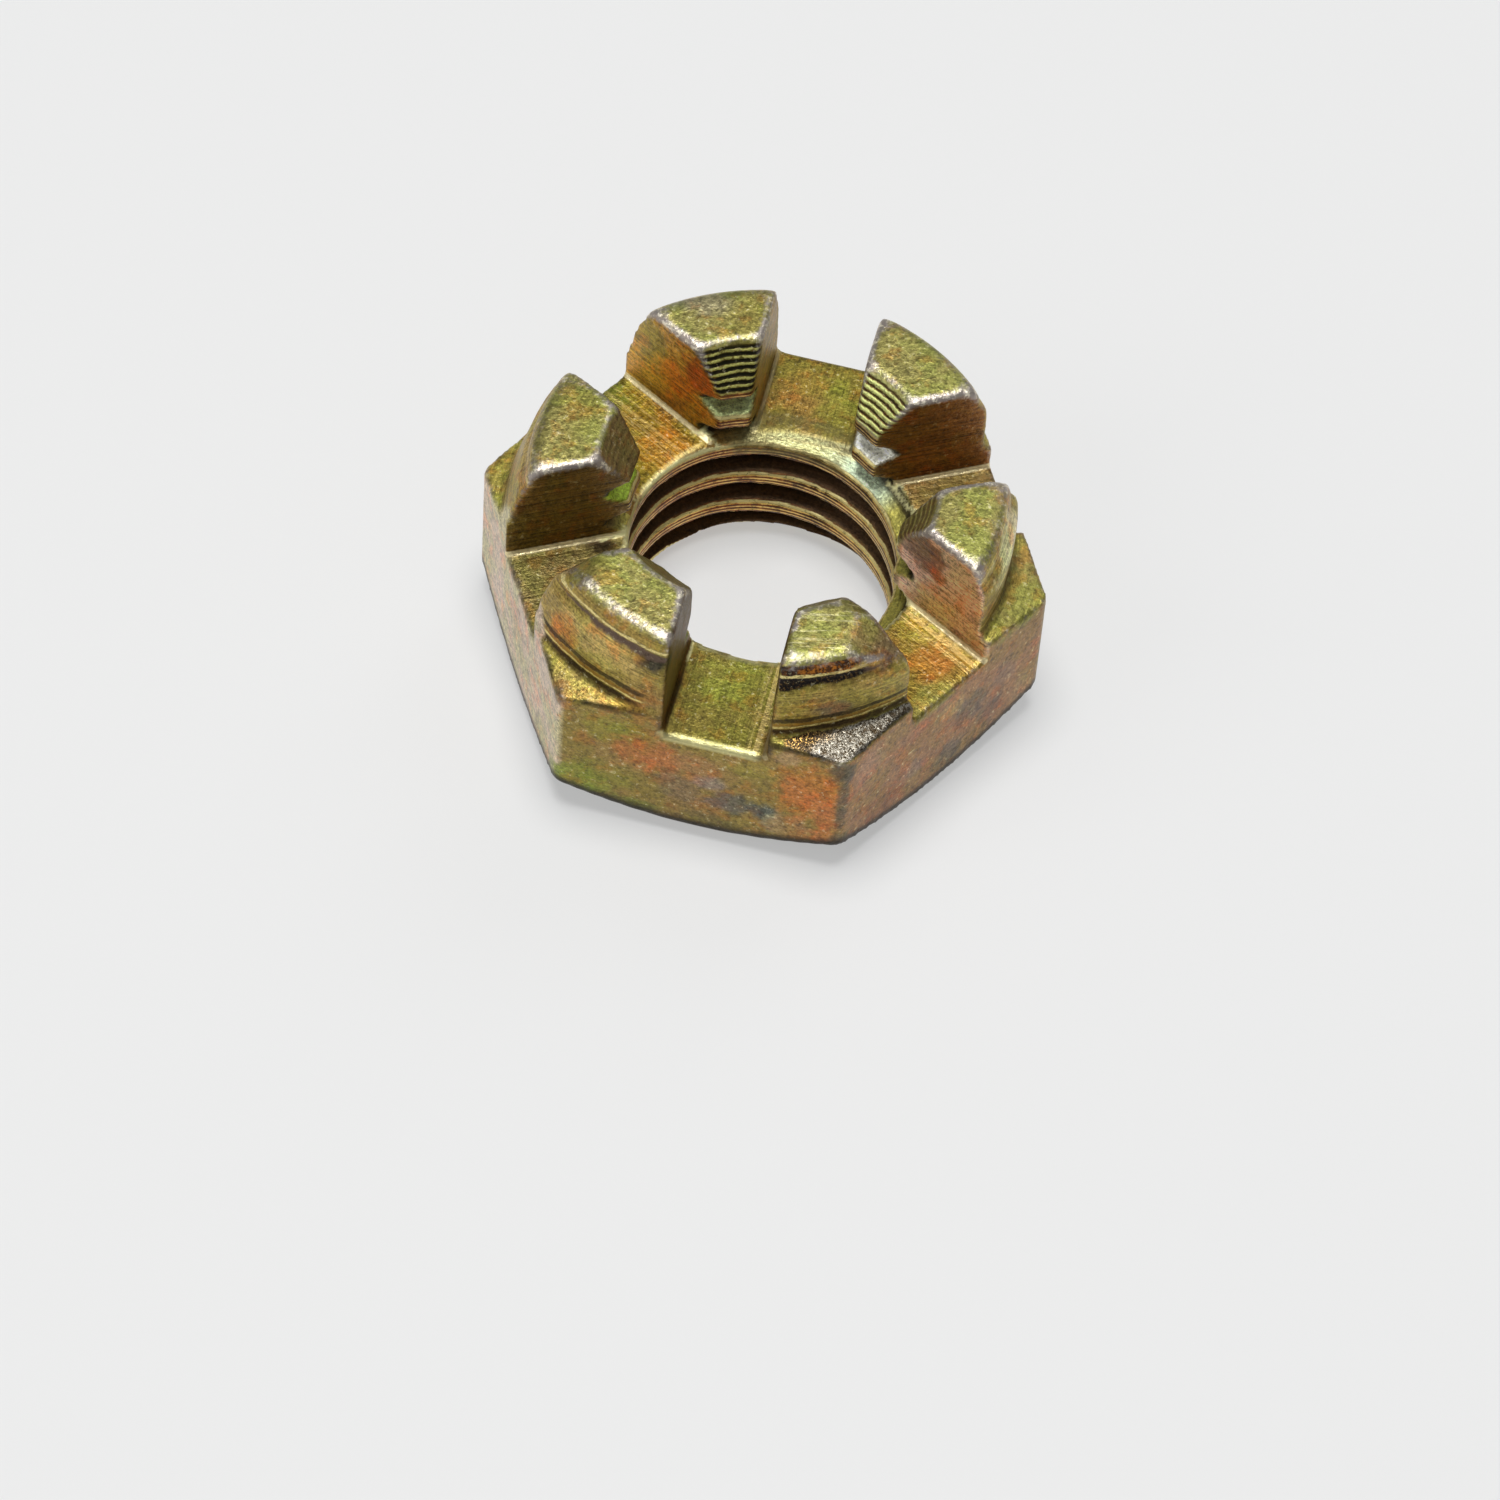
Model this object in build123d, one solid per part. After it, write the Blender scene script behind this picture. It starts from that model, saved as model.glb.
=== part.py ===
from build123d import *
import math
import os

os.makedirs("parts", exist_ok=True)

# All lengths in millimetres, angles in degrees.
# The nut stands on its bearing face: origin at the centre of that face, +Z up
# along the thread axis, the front flat faces -Y and two hexagon corners lie on X.

# hexagon body
across_flats = 19.0
bearing_inset = 2.3            # bearing ring diameter under the size across flats
base_chamfer_angle = 30.0      # slope of the chamfer under the corners
corner_round = 0.22            # worn vertical corners of the hexagon

# turned crown above the hexagon
total_height = 10.6
ledge_height = 7.0             # shoulder at the foot of the crown
ledge_fall_angle = 12.0        # the shoulder drops towards the corners
crown_foot_excess = 0.1        # foot diameter of the crown over the flats
crown_side_angle = 11.0        # the crown leans in, measured from upright
foot_round = 0.25

# slots for the cotter pin, one in the middle of each flat
slot_count = 6
slot_width = 4.0
slot_floor_height = 5.9
slot_corner_round = 0.18
slot_lip_chamfer = 0.22        # broken outer edge of each slot floor
slot_shift = 0.33              # the slots were milled off the thread axis, along +X

# thread: the wall stands at the minor diameter of a coarse thread
thread_diameter = 12.0
thread_pitch = 1.75
minor_share = 1.0825           # pitches between the major and minor diameters
bore_play = 0.3                # bore diameter over the basic minor diameter
countersink_excess = 0.2       # base countersink diameter over the thread
countersink_angle = 55.0       # measured from the axis

# countersink at the top, inside the teeth
mouth_excess = 0.8             # mouth diameter over the thread
mouth_angle = 38.0             # measured from the axis

# worn edges of the teeth
tooth_side_bevel = 0.3
tooth_top_round = 0.25

# turning marks round the crown: distance below the top, width and depth
top_groove_drop = 1.24
top_groove_width = 0.8
top_groove_depth = 0.14
low_groove_drop = 2.75
low_groove_width = 0.34
low_groove_depth = 0.07
foot_groove_drop = 3.18
foot_groove_width = 0.34
foot_groove_depth = 0.07

# room that cutters run past the solid
overrun = 2.0

full_turn = 360.0
hex_corner_radius = across_flats / 2 / math.cos(math.pi / slot_count)
blank_radius = hex_corner_radius + overrun
bearing_radius = (across_flats - bearing_inset) / 2
foot_radius = (across_flats + crown_foot_excess) / 2
crown_height = total_height - ledge_height
crown_lean = math.tan(math.radians(crown_side_angle))
top_radius = foot_radius - crown_height * crown_lean
bore_radius = (thread_diameter - minor_share * thread_pitch + bore_play) / 2
mouth_radius = (thread_diameter + mouth_excess) / 2
turn_step = full_turn / slot_count


def turned_blank():
    """Outside shape as a lathe leaves it: chamfer, shoulder and crown."""
    chamfer_rise = (blank_radius - bearing_radius) * math.tan(math.radians(base_chamfer_angle))
    ledge_drop = (blank_radius - foot_radius) * math.tan(math.radians(ledge_fall_angle))
    outline = Polyline([
        (0, 0),
        (bearing_radius, 0),
        (blank_radius, chamfer_rise),
        (blank_radius, ledge_height - ledge_drop),
        (foot_radius, ledge_height),
        (top_radius, total_height),
        (0, total_height),
    ], close=True)
    section = make_face(outline)
    foot = section.vertices().sort_by_distance((foot_radius, ledge_height, 0))[0]
    section = fillet(foot, foot_round)
    return revolve(Plane.XZ * section, axis=Axis.Z)


def hexagon_bar():
    """Hexagon bar with corners on X and softly worn vertical edges."""
    section = RegularPolygon(radius=hex_corner_radius, side_count=slot_count)
    section = fillet(section.vertices(), corner_round)
    return extrude(section, amount=total_height)


def thread_bore():
    """Bore at the minor diameter, countersunk at the base and inside the teeth."""
    sink_radius = (thread_diameter + countersink_excess) / 2
    sink_slope = math.tan(math.radians(countersink_angle))
    sink_depth = (sink_radius - bore_radius) / sink_slope
    mouth_slope = math.tan(math.radians(mouth_angle))
    mouth_depth = (mouth_radius - bore_radius) / mouth_slope
    outline = Polyline([
        (0, -overrun),
        (sink_radius + overrun * sink_slope, -overrun),
        (bore_radius, sink_depth),
        (bore_radius, total_height - mouth_depth),
        (mouth_radius + overrun * mouth_slope, total_height + overrun),
        (0, total_height + overrun),
    ], close=True)
    return revolve(Plane.XZ * make_face(outline), axis=Axis.Z)


def slot_cutter(turn):
    """One milled slot right across the nut, with rounded floor corners."""
    depth = total_height + overrun - slot_floor_height
    section = Rectangle(slot_width, depth)
    floor_corners = section.vertices().sort_by(Axis.Y)[0:2]
    section = fillet(floor_corners, slot_corner_round)
    cutter = extrude(Plane.XZ * section, amount=blank_radius, both=True)
    cutter = Rot(0, 0, turn) * Pos(0, 0, slot_floor_height + depth / 2) * cutter
    return Pos(slot_shift, 0, 0) * cutter


def lip_cutter(turn):
    """Wedge that breaks the outer edge of one slot floor."""
    size = slot_lip_chamfer * math.sqrt(2)
    wedge = Rot(45, 0, 0) * Box(slot_width - 2 * slot_corner_round, size, size)
    side_shift = slot_shift * math.cos(math.radians(turn))
    place = Pos(side_shift, -across_flats / 2, slot_floor_height)
    return Rot(0, 0, turn) * place * wedge


def groove_cutter(drop, width, depth):
    """Ring with a round section that leaves one turning mark on the crown."""
    ring_radius = (width * width / 4 + depth * depth) / (2 * depth)
    wall = top_radius + drop * crown_lean
    section = Pos(wall + ring_radius - depth, total_height - drop) * Circle(ring_radius)
    return revolve(Plane.XZ * section, axis=Axis.Z)


def tooth_side_edges(nut):
    """Outer edges of the teeth, where the slot walls meet the crown."""
    edges = []
    for edge in nut.edges():
        middle = edge.center()
        reach = math.hypot(middle.X, middle.Y)
        rise = edge.bounding_box().size.Z
        if rise > crown_height / 2 and reach > top_radius - tooth_side_bevel and middle.Z > ledge_height:
            edges.append(edge)
    return edges


def tooth_top_edges(nut):
    """All edges round the flat tops of the teeth."""
    tops = nut.faces().filter_by(Axis.Z).group_by(Axis.Z)[-1]
    return tops.edges()


def castle_nut():
    nut = turned_blank() & hexagon_bar()
    for index in range(slot_count // 2):
        nut = nut - slot_cutter(index * turn_step)
    nut = nut - thread_bore()
    nut = chamfer(tooth_side_edges(nut), tooth_side_bevel)
    nut = fillet(tooth_top_edges(nut), tooth_top_round)
    for index in range(slot_count):
        nut = nut - lip_cutter(index * turn_step)
    nut = nut - groove_cutter(top_groove_drop, top_groove_width, top_groove_depth)
    nut = nut - groove_cutter(low_groove_drop, low_groove_width, low_groove_depth)
    nut = nut - groove_cutter(foot_groove_drop, foot_groove_width, foot_groove_depth)
    return nut


nut = castle_nut()
export_step(nut, "parts/castle_nut.step")
print("castle nut: solids", len(nut.solids()), "valid", nut.is_valid, "volume", round(nut.volume, 1))
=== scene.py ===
# Low castle nut, M12 x 1.75 on a 19 mm hexagon, in yellow passivated zinc.
# It replaces the frame's solid nut and adds the cut thread, the wear and the plating.

import math

import bmesh
import bpy
import numpy as np
from mathutils import Matrix, Vector, noise


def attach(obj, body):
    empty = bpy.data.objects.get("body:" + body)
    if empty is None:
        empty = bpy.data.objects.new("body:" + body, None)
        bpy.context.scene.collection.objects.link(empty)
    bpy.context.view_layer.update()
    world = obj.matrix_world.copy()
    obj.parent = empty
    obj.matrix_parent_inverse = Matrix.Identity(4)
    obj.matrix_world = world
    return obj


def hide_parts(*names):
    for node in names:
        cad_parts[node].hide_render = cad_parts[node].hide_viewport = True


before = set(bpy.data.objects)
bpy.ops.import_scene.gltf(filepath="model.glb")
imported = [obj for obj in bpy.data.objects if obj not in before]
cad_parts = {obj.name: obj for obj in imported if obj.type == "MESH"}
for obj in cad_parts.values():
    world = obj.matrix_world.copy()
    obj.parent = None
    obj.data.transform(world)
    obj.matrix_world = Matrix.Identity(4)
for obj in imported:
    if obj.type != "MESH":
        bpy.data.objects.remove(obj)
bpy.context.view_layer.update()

# Shapes are made in millimetres and brought to metres at the end.
MM = 0.001

# hexagon body
FLAT_REACH = 9.5
CORNER_REACH = FLAT_REACH / math.cos(math.radians(30))
CORNER_ROUND = 0.3
BEARING_RADIUS = 8.35
CHAMFER_SLOPE = math.tan(math.radians(30))
BAR_LENGTH = 30.0

# crown: height, ledge at its foot, and the radius and height of each point up its side
TOP = 10.6
LEDGE = 7.0
LEDGE_FALL = 0.2126
CROWN_LINE = (
    (9.8, 6.95), (9.68, 6.97), (9.6, 7.06), (9.56, 7.2), (9.5, 7.32), (9.55, 7.48),
    (9.54, 7.64), (9.49, 7.76), (9.5, 7.92), (9.44, 8.5), (9.37, 9.1), (9.31, 9.36),
    (9.18, 9.56), (9.04, 9.68), (9.0, 9.8), (9.04, 9.9), (9.07, 9.96), (8.98, 10.1),
    (8.94, 10.28), (8.85, 10.43), (8.68, 10.54), (8.44, 10.6),
)
BLANK_REACH = 13.0
BLANK_CORE = 3.0

# the foot of the crown was turned a little off the axis
FOOT_SHIFT = 0.28
FOOT_BOTTOM = 6.9
FOOT_TOP = 9.0
FOOT_FADE = 1.6
FOOT_REACH = 9.9

# slots: floor height, width, common middle, and each one's turn off its bearing
SLOT_FLOOR = 5.9
SLOT_WIDTH = 4.0
SLOT_MIDDLE = (0.33, 0.035, 0.0)
SLOT_TURNS = {-90: 0.9, -30: -0.1, -150: -0.8}
SLOT_LENGTH = 40.0
SLOT_DEPTH = 10.0
SLOT_BEARINGS = (-90, -30, 30, 90, 150, -150)

# thread: groove half widths and phases are shares of the pitch
PITCH = 1.75
CREST_RADIUS = 5.08
ROOT_RADIUS = 5.98
CREST_HEIGHT = 1.8
CREST_BEARING = 100.0
THREAD_END = 8.53
GROOVE_MOUTH = 0.34
GROOVE_ROOT = 0.07
THREAD_STEPS = 144

# countersinks inside the teeth and at the base
MOUTH_RADIUS = 6.4
MOUTH_SLOPE = math.tan(math.radians(38))
MOUTH_FOOT = TOP - (MOUTH_RADIUS - CREST_RADIUS) / MOUTH_SLOPE
BASE_SINK = ((8.9, -2.0), (6.12, 0.0), (CREST_RADIUS, 0.64))

# room that cutters run past the nut, their hollow core, and their bite over the crests
OVERRUN = 2.0
BORE_CORE = 2.0
THREAD_CORE = 4.4
BITE = 0.02

# size of the voxels that even out the mesh
GRAIN = 0.142

# smoothing rounds for worn edges and corners, and levels of their weights
EDGE_ROUNDS = 6
CORNER_ROUNDS = 40
WEAR_LEVELS = 10

# how far each outer tooth corner is worn, by slot bearing, on both sides of the slot
CORNER_WEAR = {
    -90: (0.4, 0.3), -30: (0.35, 0.4), 30: (0.4, 0.35),
    90: (0.4, 0.3), 150: (0.35, 0.4), -150: (0.5, 0.6),
}

# corners knocked off a tooth: reach and bearing of the cut's middle, its depth and its tilt
KNOCKS = (
    (8.85, -46.0, 0.75, 28.0), (6.5, -48.0, 0.3, 30.0),
    (8.7, -134.0, 0.5, 28.0), (8.95, 14.0, 0.3, 26.0),
)
KNOCK_BLOCK = 4.0
TOOTH_MIDDLE = 7.4


# Shapes.

def new_object(name, bm):
    """Brings a bmesh into the scene as an object."""
    mesh = bpy.data.meshes.new(name)
    bmesh.ops.recalc_face_normals(bm, faces=bm.faces)
    bm.to_mesh(mesh)
    bm.free()
    obj = bpy.data.objects.new(name, mesh)
    bpy.context.scene.collection.objects.link(obj)
    return obj


def turn(bm, degrees, axis="Z"):
    """Turns a bmesh about an axis through the origin."""
    matrix = Matrix.Rotation(math.radians(degrees), 3, axis)
    bmesh.ops.rotate(bm, verts=bm.verts, cent=(0, 0, 0), matrix=matrix)


def move(bm, way):
    bmesh.ops.translate(bm, verts=bm.verts, vec=way)


def spin_profile(name, points, steps=360, angle=2 * math.pi, rise=0.0):
    """Spins a closed outline of (radius, height) about Z, or screws it up by rise a step."""
    bm = bmesh.new()
    ring = [bm.verts.new((r, 0, z)) for r, z in points]
    geom = ring + [bm.edges.new(pair) for pair in zip(ring, ring[1:] + ring[:1])]
    full = rise == 0.0
    if not full:
        geom.append(bm.faces.new(ring))
    bmesh.ops.spin(bm, geom=geom, cent=(0, 0, 0), axis=(0, 0, 1), dvec=(0, 0, rise),
                   angle=angle, steps=steps, use_merge=full)
    bmesh.ops.remove_doubles(bm, verts=bm.verts, dist=1e-5)
    return new_object(name, bm)


def carve(target, tool, operation="DIFFERENCE"):
    """Adds the step that cuts a tool out of a piece."""
    step = target.modifiers.new(tool.name, "BOOLEAN")
    step.operation = operation
    step.solver = "EXACT"
    step.object = tool


def settle(obj):
    """Applies the modifiers of a piece and keeps the result as its mesh."""
    bpy.context.view_layer.update()
    graph = bpy.context.evaluated_depsgraph_get()
    mesh = bpy.data.meshes.new_from_object(obj.evaluated_get(graph))
    obj.modifiers.clear()
    obj.data = mesh


def turned_blank():
    """Lathe work: bearing chamfer, falling ledge, grooved crown and its shoulder."""
    blank = spin_profile("turned_blank", [
        (BLANK_CORE, 0.0), (BEARING_RADIUS, 0.0),
        (BLANK_REACH, (BLANK_REACH - BEARING_RADIUS) * CHAMFER_SLOPE),
        (BLANK_REACH, LEDGE - (BLANK_REACH - FLAT_REACH) * LEDGE_FALL),
        *CROWN_LINE, (BLANK_CORE, TOP),
    ])
    for vertex in blank.data.vertices:
        x, y, z = vertex.co
        if FOOT_BOTTOM < z < FOOT_TOP and math.hypot(x, y) < FOOT_REACH:
            vertex.co.x -= FOOT_SHIFT * min(1.0, (FOOT_TOP - z) / FOOT_FADE)
    return blank


def hexagon_bar():
    """Hexagon bar with corners on X and worn upright edges."""
    bm = bmesh.new()
    bmesh.ops.create_cone(bm, cap_ends=True, segments=6, radius1=CORNER_REACH,
                          radius2=CORNER_REACH, depth=BAR_LENGTH)
    turn(bm, 30)
    upright = [e for e in bm.edges if abs(e.verts[0].co.z - e.verts[1].co.z) > 1]
    bmesh.ops.bevel(bm, geom=upright, offset=CORNER_ROUND, offset_type="OFFSET",
                    affect="EDGES", segments=4, profile=0.5, material=-1)
    return new_object("hexagon_bar", bm)


def slot_cutter(bearing):
    """Bar that mills one slot right across the nut."""
    bm = bmesh.new()
    bmesh.ops.create_cube(bm, size=1.0)
    bmesh.ops.scale(bm, verts=bm.verts, vec=(SLOT_LENGTH, SLOT_WIDTH, SLOT_DEPTH))
    turn(bm, bearing + SLOT_TURNS[bearing])
    move(bm, (SLOT_MIDDLE[0], SLOT_MIDDLE[1], SLOT_FLOOR + SLOT_DEPTH / 2))
    return new_object("slot_cutter", bm)


def bore_cutter():
    """Bore with the countersinks at the base and inside the teeth."""
    return spin_profile("bore_cutter", [
        (BORE_CORE, -OVERRUN), *BASE_SINK, (CREST_RADIUS, MOUTH_FOOT), (MOUTH_RADIUS, TOP),
        (MOUTH_RADIUS + OVERRUN * MOUTH_SLOPE, TOP + OVERRUN), (BORE_CORE, TOP + OVERRUN),
    ])


def thread_cutter():
    """Right-hand thread groove, screwed up through the bore from under the base."""
    start = CREST_HEIGHT - 2.5 * PITCH
    steps = round(THREAD_STEPS * (THREAD_END - start) / PITCH)
    mouth, root = PITCH * GROOVE_MOUTH, PITCH * GROOVE_ROOT
    lower = [(THREAD_CORE, -mouth), (CREST_RADIUS - BITE, -mouth), (ROOT_RADIUS, -root)]
    upper = [(radius, -height) for radius, height in reversed(lower)]
    outline = [(radius, start + height) for radius, height in lower + upper]
    tool = spin_profile("thread_cutter", outline, steps=steps,
                        angle=steps / THREAD_STEPS * 2 * math.pi, rise=PITCH / THREAD_STEPS)
    tool.data.transform(Matrix.Rotation(math.radians(CREST_BEARING), 4, "Z"))
    return tool


def knock_cutter(reach, bearing, depth, tilt):
    """Tilted block whose lower face takes a corner off a tooth."""
    bm = bmesh.new()
    bmesh.ops.create_cube(bm, size=KNOCK_BLOCK)
    move(bm, (0, 0, KNOCK_BLOCK / 2))
    turn(bm, tilt, "Y")
    move(bm, (0, 0, TOP - depth))
    # the slope falls away from the middle of the nearest tooth
    place = direction(bearing) * reach
    away = place - direction(round(bearing / 60) * 60) * TOOTH_MIDDLE
    turn(bm, math.degrees(math.atan2(away[1], away[0])))
    move(bm, place)
    return new_object("knock_cutter", bm)


def castle_nut():
    """The nut as it was machined, in even grain, with its edges worn."""
    nut = turned_blank()
    bar = hexagon_bar()
    cutters = [slot_cutter(bearing) for bearing in SLOT_TURNS]
    cutters += [bore_cutter(), thread_cutter()]
    cutters += [knock_cutter(*knock) for knock in KNOCKS]
    carve(nut, bar, "INTERSECT")
    for cutter in cutters:
        carve(nut, cutter)
    settle(nut)
    for tool in [bar, *cutters]:
        bpy.data.objects.remove(tool)
    grid = nut.modifiers.new("even_grain", "REMESH")
    grid.mode = "VOXEL"
    grid.voxel_size = GRAIN
    grid.adaptivity = 0.0
    settle(nut)
    nut.name = "castle_nut_body"
    wear_down(nut)
    return nut


# What lies where on the nut.

def direction(degrees):
    """Level direction of a bearing."""
    return np.array([math.cos(math.radians(degrees)), math.sin(math.radians(degrees)), 0.0])


def ramp(values, low, high):
    """0 at low, 1 at high, which may be the lower of the two."""
    return np.clip((values - low) / (high - low), 0, 1)


def read(collection, field, width):
    """One property of every point, edge, face or corner, in rows."""
    data = np.zeros(len(collection) * width, np.float32)
    collection.foreach_get(field, data)
    return data.reshape(-1, width).astype(float)


def slot_places(points):
    """For each slot bearing: how far out and how far aside of its middle the points lie."""
    places = {}
    offset = points - np.array(SLOT_MIDDLE)
    for bearing in SLOT_BEARINGS:
        line = bearing if bearing in SLOT_TURNS else bearing - 180
        true = bearing + SLOT_TURNS[line]
        side = direction(true + 90)
        places[bearing] = (offset @ direction(true), offset @ side, side)
    return places


class Points:
    """The points of the nut and how they are linked."""

    def __init__(self, mesh):
        self.places = read(mesh.vertices, "co", 3)
        self.normals = read(mesh.vertices, "normal", 3)
        self.links = read(mesh.edges, "vertices", 2).astype(int)
        self.count = len(self.places)
        self.height = self.places[:, 2]
        self.reach = np.hypot(self.places[:, 0], self.places[:, 1])
        self.slots = slot_places(self.places)

    def spread(self, values, rounds):
        """Averages a value over each point's neighbours, this many times."""
        a, b = self.links[:, 0], self.links[:, 1]
        share = np.bincount(a, minlength=self.count) + np.bincount(b, minlength=self.count)
        for _ in range(rounds):
            total = np.bincount(a, values[b], self.count) + np.bincount(b, values[a], self.count)
            values = 0.5 * values + 0.5 * total / share
        return values

    def bulge(self, rounds):
        """How far each point stands out of the softened shape round it."""
        out = np.zeros(self.count)
        for axis in range(3):
            place = self.places[:, axis]
            out += (place - self.spread(place, rounds)) * self.normals[:, axis]
        return out


def wear_down(nut):
    """Rounds the edges of the teeth, most of all their outer corners."""
    points = Points(nut.data)
    reach, height = points.reach, points.height
    sharp = ramp(points.spread(np.clip(points.bulge(4), 0, 1), 3), 0.004, 0.03)
    lips = ramp(reach, 9.0, 9.2) * ramp(height, SLOT_FLOOR - 0.4, SLOT_FLOOR - 0.2)
    lips *= height < SLOT_FLOOR + 0.3
    edges = sharp * np.maximum(ramp(height, 7.3, 8.0), lips)
    corners = np.zeros(points.count)
    for bearing, (out, aside, _) in points.slots.items():
        for side, amount in zip((-1, 1), CORNER_WEAR[bearing]):
            off = np.abs(aside * side - SLOT_WIDTH / 2)
            near = 1 - ramp(off, 0.5 * amount, 1.6 * amount)
            corners = np.maximum(corners, near * (out > 3) * amount)
    corners *= ramp(reach, 7.2, 8.3) * ramp(height, 8.2, 9.6)
    for name, weights, rounds in (
        ("edge_wear", edges, EDGE_ROUNDS), ("corner_wear", corners, CORNER_ROUNDS),
    ):
        group = nut.vertex_groups.new(name=name)
        for level in range(1, WEAR_LEVELS + 1):
            hit = np.where(np.round(weights * WEAR_LEVELS) == level)[0]
            group.add(hit.tolist(), level / WEAR_LEVELS, "REPLACE")
        step = nut.modifiers.new(name, "SMOOTH")
        step.factor = 0.5
        step.iterations = rounds
        step.vertex_group = name
    settle(nut)
    nut.vertex_groups.clear()


def name_faces(centres, normals):
    """Gives every face the name of the worked surface that it belongs to."""
    reach = np.hypot(centres[:, 0], centres[:, 1])
    height = centres[:, 2]
    up = normals[:, 2]
    outward = np.sum(centres[:, :2] * normals[:, :2], axis=1) / reach
    names = np.full(len(centres), "bore", dtype=object)
    names[(reach > 6.3) & (up > 0.5) & (height > TOP - 0.4)] = "top"
    names[(reach > 8.0) & (outward > 0.4) & (height > LEDGE - 0.05)] = "crown"
    names[(reach > 8.9) & (up > 0.6) & (height < LEDGE + 0.12)] = "ledge"
    names[(up > 0.7) & (height > TOP - 0.25)] = "top"
    for bearing in SLOT_BEARINGS:
        facing = direction(bearing)
        on_flat = (normals @ facing > 0.8) & (centres @ facing > FLAT_REACH - 0.2)
        names[on_flat] = "flat%d" % bearing
    names[(up < -0.25) & (reach > 8.0) & (height < 3)] = "chamfer"
    names[(up < -0.9) & (height < 0.2)] = "bearing"
    for bearing, (out, aside, side) in slot_places(centres).items():
        inside = (out > 4.6) & (np.abs(aside) < SLOT_WIDTH / 2 + 0.12)
        inside &= height > SLOT_FLOOR - 0.15
        floor = inside & (up > 0.7) & (height < SLOT_FLOOR + 0.25)
        names[floor] = "floor%d" % bearing
        steep = inside & (np.abs(normals @ side) > 0.7)
        names[steep & (aside > 0)] = "wall%d+" % bearing
        names[steep & (aside < 0)] = "wall%d-" % bearing
    return names


class Skin(Points):
    """The points of the finished nut with the faces round them."""

    def __init__(self, mesh):
        super().__init__(mesh)
        self.slim = self.bulge(3)
        self.angle = np.degrees(np.arctan2(self.places[:, 1], self.places[:, 0]))
        self.centres = read(mesh.polygons, "center", 3)
        self.names = name_faces(self.centres, read(mesh.polygons, "normal", 3))
        kinds = [name.rstrip("+-0123456789") for name in self.names]
        self.kinds = np.array(kinds, dtype=object)
        self.corners = read(mesh.loops, "vertex_index", 1).astype(int).ravel()
        counts = read(mesh.polygons, "loop_total", 1).astype(int).ravel()
        self.face_of = np.repeat(np.arange(len(counts)), counts)
        self.share = np.bincount(self.corners, minlength=self.count)

    def per_point(self, values):
        """Averages a value per face over the faces round each point."""
        return np.bincount(self.corners, values[self.face_of], self.count) / self.share

    def kind(self, name):
        """1 inside the surfaces of this kind, 0 outside."""
        return self.per_point((self.kinds == name).astype(float))

    def tooth(self, middle):
        """1 on the tooth at this bearing, 0 on the others."""
        return ramp(np.abs((self.angle - middle + 180) % 360 - 180), 32, 28)

    def in_slot(self, bearing):
        """The points in and beside one slot."""
        out, aside, _ = self.slots[bearing]
        return (out > 3.5) & (np.abs(aside) < 3.0)


# UV map: where each kind of surface starts, the steps between rows, and the radii that
# arcs are measured on
RING_ROW = 40
FLOOR_ROW = 60
WALL_ROW = 130
FLAT_ROW = 220
ROW_STEP = 10
WALL_STEP = 12
WALL_COLUMN = 30
FLAT_COLUMN = 60
NUT_RADIUS = 8.0
BORE_RADIUS = 5.5


def lay_uv(mesh, skin):
    """Lays the UV map in millimetres, with U along the marks that the cutter left."""
    corners = skin.corners
    places = skin.places[corners]
    names = skin.names[skin.face_of]
    middle = skin.centres[skin.face_of]
    base = np.arctan2(middle[:, 1], middle[:, 0])
    swing = np.arctan2(places[:, 1], places[:, 0]) - base
    swing = (swing + math.pi) % (2 * math.pi) - math.pi
    around = (base + math.pi / 2) % (2 * math.pi) + swing
    u = around * NUT_RADIUS
    v = places[:, 2].copy()
    rings = np.isin(names, ["top", "ledge", "bearing", "chamfer"])
    v[rings] = skin.reach[corners][rings] + RING_ROW
    u[names == "bore"] = around[names == "bore"] * BORE_RADIUS
    for row, (bearing, (out, aside, _)) in enumerate(skin.slots.items()):
        out, aside = out[corners], aside[corners]
        on = names == "floor%d" % bearing
        u[on] = out[on]
        v[on] = aside[on] + FLOOR_ROW + ROW_STEP * row
        for sign, step in (("+", 0), ("-", WALL_STEP / 2)):
            on = names == "wall%d%s" % (bearing, sign)
            u[on] = out[on] + WALL_COLUMN
            v[on] = places[on, 2] + WALL_ROW + WALL_STEP * row + step
        on = names == "flat%d" % bearing
        u[on] = (places[on] @ direction(bearing + 90)) + FLAT_COLUMN
        v[on] = places[on, 2] + FLAT_ROW + ROW_STEP * row
    layer = mesh.uv_layers.new(name="grain")
    layer.data.foreach_set("uv", np.stack([u, v], 1).astype(np.float32).ravel())


# Tones.

def tone(*colour):
    """A colour as the eye names it, 0 to 255, brought to the renderer's scale."""
    parts = np.array(colour) / 255
    return np.where(parts <= 0.04045, parts / 12.92, ((parts + 0.055) / 1.055) ** 2.4)


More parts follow.
